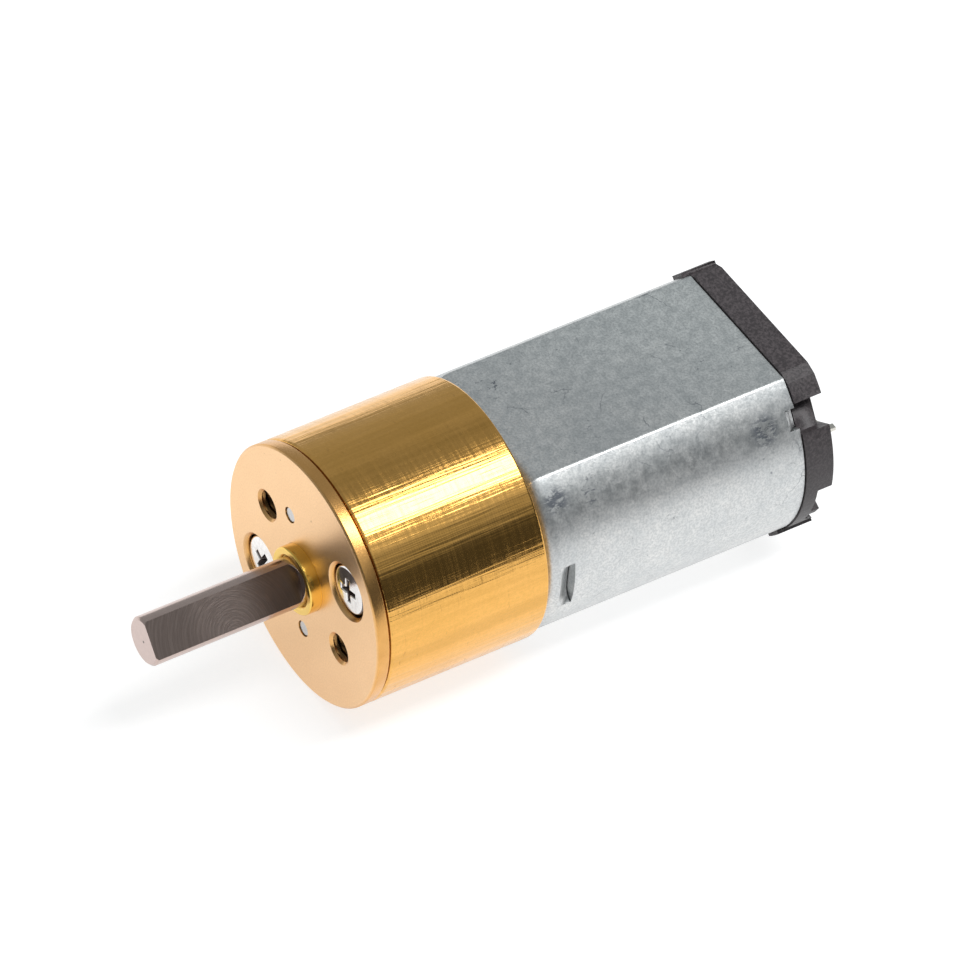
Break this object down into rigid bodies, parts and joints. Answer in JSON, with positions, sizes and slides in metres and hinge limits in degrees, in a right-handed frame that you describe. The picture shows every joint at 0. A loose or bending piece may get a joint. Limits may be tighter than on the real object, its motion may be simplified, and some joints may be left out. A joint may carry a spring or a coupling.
{
  "type": "gearmotor",
  "caption": "Small brushed DC gearmotor: a flat-sided motor behind a round brass spur gearbox, with a D-shaped output shaft and two tapped mounting holes in the front face.",
  "frame": {"origin": "centre of the gearbox's front face, on the output shaft's axis", "axes": "-Y out along the output shaft, +Z square to the motor's upper flat, +X to the right when looking at the front face"},
  "size_m": [0.016, 0.0424, 0.016],
  "materials": {
    "brass_plate": "satin",
    "brass_bearing": "satin",
    "brass_tube": "polished",
    "brass_inner": "satin",
    "plated_screw": "gloss",
    "dark_screw": "satin",
    "pin_steel": "satin",
    "shaft_steel": "satin",
    "plated_can": "satin",
    "bronze": "matte",
    "ferrite": "matte",
    "spring_steel": "satin",
    "core_steel": "satin",
    "insulator_plastic": "satin",
    "enamelled_copper": "gloss",
    "sleeve_plastic": "satin",
    "copper": "satin",
    "black_plastic": "satin",
    "brush_bronze": "satin",
    "tinned_terminal": "satin"
  },
  "bodies": {
    "motor_and_gearbox": {"front_plate": "brass_plate", "output_bearing": "brass_bearing", "gearbox_housing": "brass_tube", "middle_plate": "brass_inner", "rear_plate": "brass_inner", "pillars": "brass_inner", "front_screws": "plated_screw", "motor_screws": "dark_screw", "gear_pins": "pin_steel", "spacer_a": "brass_inner", "spacer_b_front": "brass_inner", "spacer_b_rear": "brass_inner", "motor_can": "plated_can", "front_motor_bearing": "bronze", "magnet_left": "ferrite", "magnet_right": "ferrite", "magnet_clip": "spring_steel", "end_cap": "black_plastic", "rear_motor_bearing": "bronze", "brush_left": "brush_bronze", "brush_right": "brush_bronze", "terminal_left": "tinned_terminal", "terminal_right": "tinned_terminal"},
    "output": {"output_shaft": "shaft_steel", "output_gear": "brass_inner", "thrust_washer": "pin_steel"},
    "pin_gear_b": {"wheel_b": "brass_inner", "pinion_b": "pin_steel"},
    "centre_gear": {"centre_wheel": "brass_inner", "centre_pinion": "pin_steel"},
    "pin_gear_a": {"wheel_a": "brass_inner", "pinion_a": "pin_steel"},
    "rotor": {"motor_shaft": "pin_steel", "motor_pinion": "brass_inner", "armature_core": "core_steel", "armature_insulators": "insulator_plastic", "windings": "enamelled_copper", "commutator_sleeve": "sleeve_plastic", "commutator_segments": "copper", "rotor_washers": "insulator_plastic"}
  },
  "joints": [
    {"name": "rotor_spin", "type": "hinge", "parent": "motor_and_gearbox", "child": "rotor", "pos_m": [0, 0.02, 0], "axis": [0, -1, 0], "continuous": true},
    {"name": "pin_gear_a_spin", "type": "hinge", "parent": "motor_and_gearbox", "child": "pin_gear_a", "pos_m": [-0.00164, -0.006, 0.00351], "axis": [0, -1, 0], "continuous": true},
    {"name": "centre_gear_spin", "type": "hinge", "parent": "motor_and_gearbox", "child": "centre_gear", "pos_m": [0, 0.007, 0], "axis": [0, -1, 0], "continuous": true},
    {"name": "pin_gear_b_spin", "type": "hinge", "parent": "motor_and_gearbox", "child": "pin_gear_b", "pos_m": [0.00027, -0.006, -0.00387], "axis": [0, -1, 0], "continuous": true},
    {"name": "output_spin", "type": "hinge", "parent": "motor_and_gearbox", "child": "output", "pos_m": [0, 0, 0], "axis": [0, -1, 0], "continuous": true}
  ],
  "couplings": [
    {"joint": "pin_gear_a_spin", "follows": "rotor_spin", "ratio": -0.47619},
    {"joint": "centre_gear_spin", "follows": "rotor_spin", "ratio": 0.19481},
    {"joint": "pin_gear_b_spin", "follows": "rotor_spin", "ratio": -0.079693},
    {"joint": "output_spin", "follows": "rotor_spin", "ratio": 0.032602}
  ]
}
